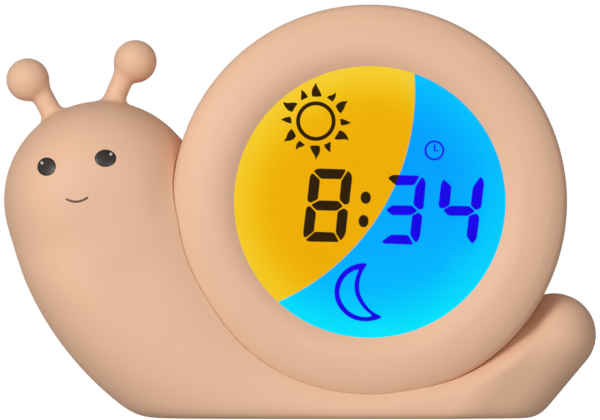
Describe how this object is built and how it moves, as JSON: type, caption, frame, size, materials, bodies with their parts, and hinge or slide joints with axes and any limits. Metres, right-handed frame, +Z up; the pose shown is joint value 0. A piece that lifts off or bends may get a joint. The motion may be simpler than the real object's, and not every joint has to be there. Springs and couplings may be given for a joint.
{
  "type": "kids alarm clock with night light",
  "caption": "Snail-shaped bedside alarm clock and night light: soft matte body, round shell with a two-colour lit segment display, buttons, speaker and charging socket at the back.",
  "frame": {"origin": "centre of the overall box at the flat base that the snail stands on", "axes": "+X from the head towards the tail (longest), +Y from the display towards the rear cover (shortest), +Z up"},
  "size_m": [0.1806, 0.0628, 0.126],
  "materials": {
    "soft_nude": "soft matte silicone",
    "core_abs": "moulded",
    "clear_window": "clear gloss",
    "foam_tape": "foam",
    "lcd_glass": "clear",
    "yellow_film": "translucent, lit",
    "blue_film": "translucent, lit",
    "white_diffuser": "milky",
    "white_abs": "satin",
    "board_green": "solder mask",
    "black_plastic": "satin",
    "steel": "plated",
    "nickel": "plated",
    "led_white": "moulded",
    "cell_wrap": "shrink film",
    "cable_grey": "flat cable",
    "flex_amber": "polyimide film",
    "cover_nude": "fine texture",
    "button_nude": "soft matte",
    "foam_grey": "foam",
    "wire_red": "jacket",
    "plunger_black": "moulded"
  },
  "bodies": {
    "clock": {"audio_amp": "black_plastic", "battery_cell": "cell_wrap", "battery_contacts": "nickel", "battery_holder": "black_plastic", "capacitors": "nickel", "core_front": "core_abs", "core_rear": "core_abs", "core_screws": "steel", "cover_screws": "steel", "cradle_screws": "steel", "crystal": "nickel", "day_film": "yellow_film", "day_leds": "led_white", "diffuser": "white_diffuser", "display_lens": "clear_window", "key_pcb": "board_green", "key_pcb_screws": "steel", "key_ribbon": "cable_grey", "lcd_connector": "white_abs", "lcd_flex": "flex_amber", "lcd_frame": "white_abs", "lcd_panel": "lcd_glass", "lens_tape": "foam_tape", "light_box": "white_abs", "lightbox_screws": "steel", "main_pcb": "board_green", "microcontroller": "black_plastic", "night_film": "blue_film", "night_leds": "led_white", "pcb_screws": "steel", "rear_cover": "cover_nude", "ribbon_connectors": "white_abs", "shell_rear": "soft_nude", "shell_ring": "soft_nude", "shell_screws": "steel", "silicone_body": "soft_nude", "slide_switch": "nickel", "speaker": "black_plastic", "speaker_connector": "white_abs", "speaker_gasket": "foam_grey", "speaker_leads": "wire_red", "tact_switches": "black_plastic", "usb_c_receptacle": "nickel"},
    "set_key": {"set_button": "button_nude", "set_plunger": "plunger_black"},
    "down_key": {"down_button": "button_nude", "down_plunger": "plunger_black"},
    "light_key": {"light_button": "button_nude", "light_plunger": "plunger_black"},
    "up_key": {"up_button": "button_nude", "up_plunger": "plunger_black"},
    "alarm_key": {"alarm_button": "button_nude", "alarm_plunger": "plunger_black"},
    "power_switch": {"power_slider": "button_nude", "switch_lever": "plunger_black"}
  },
  "joints": [
    {"name": "set_press", "type": "slide", "parent": "clock", "child": "set_key", "axis": [0, -1, 0], "range_m": [0, 0.0006], "stiffness_N_per_m": 1500, "springref_m": -0.0004},
    {"name": "down_press", "type": "slide", "parent": "clock", "child": "down_key", "axis": [0, -1, 0], "range_m": [0, 0.0006], "stiffness_N_per_m": 1500, "springref_m": -0.0004},
    {"name": "light_press", "type": "slide", "parent": "clock", "child": "light_key", "axis": [0, -1, 0], "range_m": [0, 0.0006], "stiffness_N_per_m": 1500, "springref_m": -0.0004},
    {"name": "up_press", "type": "slide", "parent": "clock", "child": "up_key", "axis": [0, -1, 0], "range_m": [0, 0.0006], "stiffness_N_per_m": 1500, "springref_m": -0.0004},
    {"name": "alarm_press", "type": "slide", "parent": "clock", "child": "alarm_key", "axis": [0, -1, 0], "range_m": [0, 0.0006], "stiffness_N_per_m": 1500, "springref_m": -0.0004},
    {"name": "power_slide", "type": "slide", "parent": "clock", "child": "power_switch", "axis": [1, 0, 0], "range_m": [0, 0.003]}
  ]
}
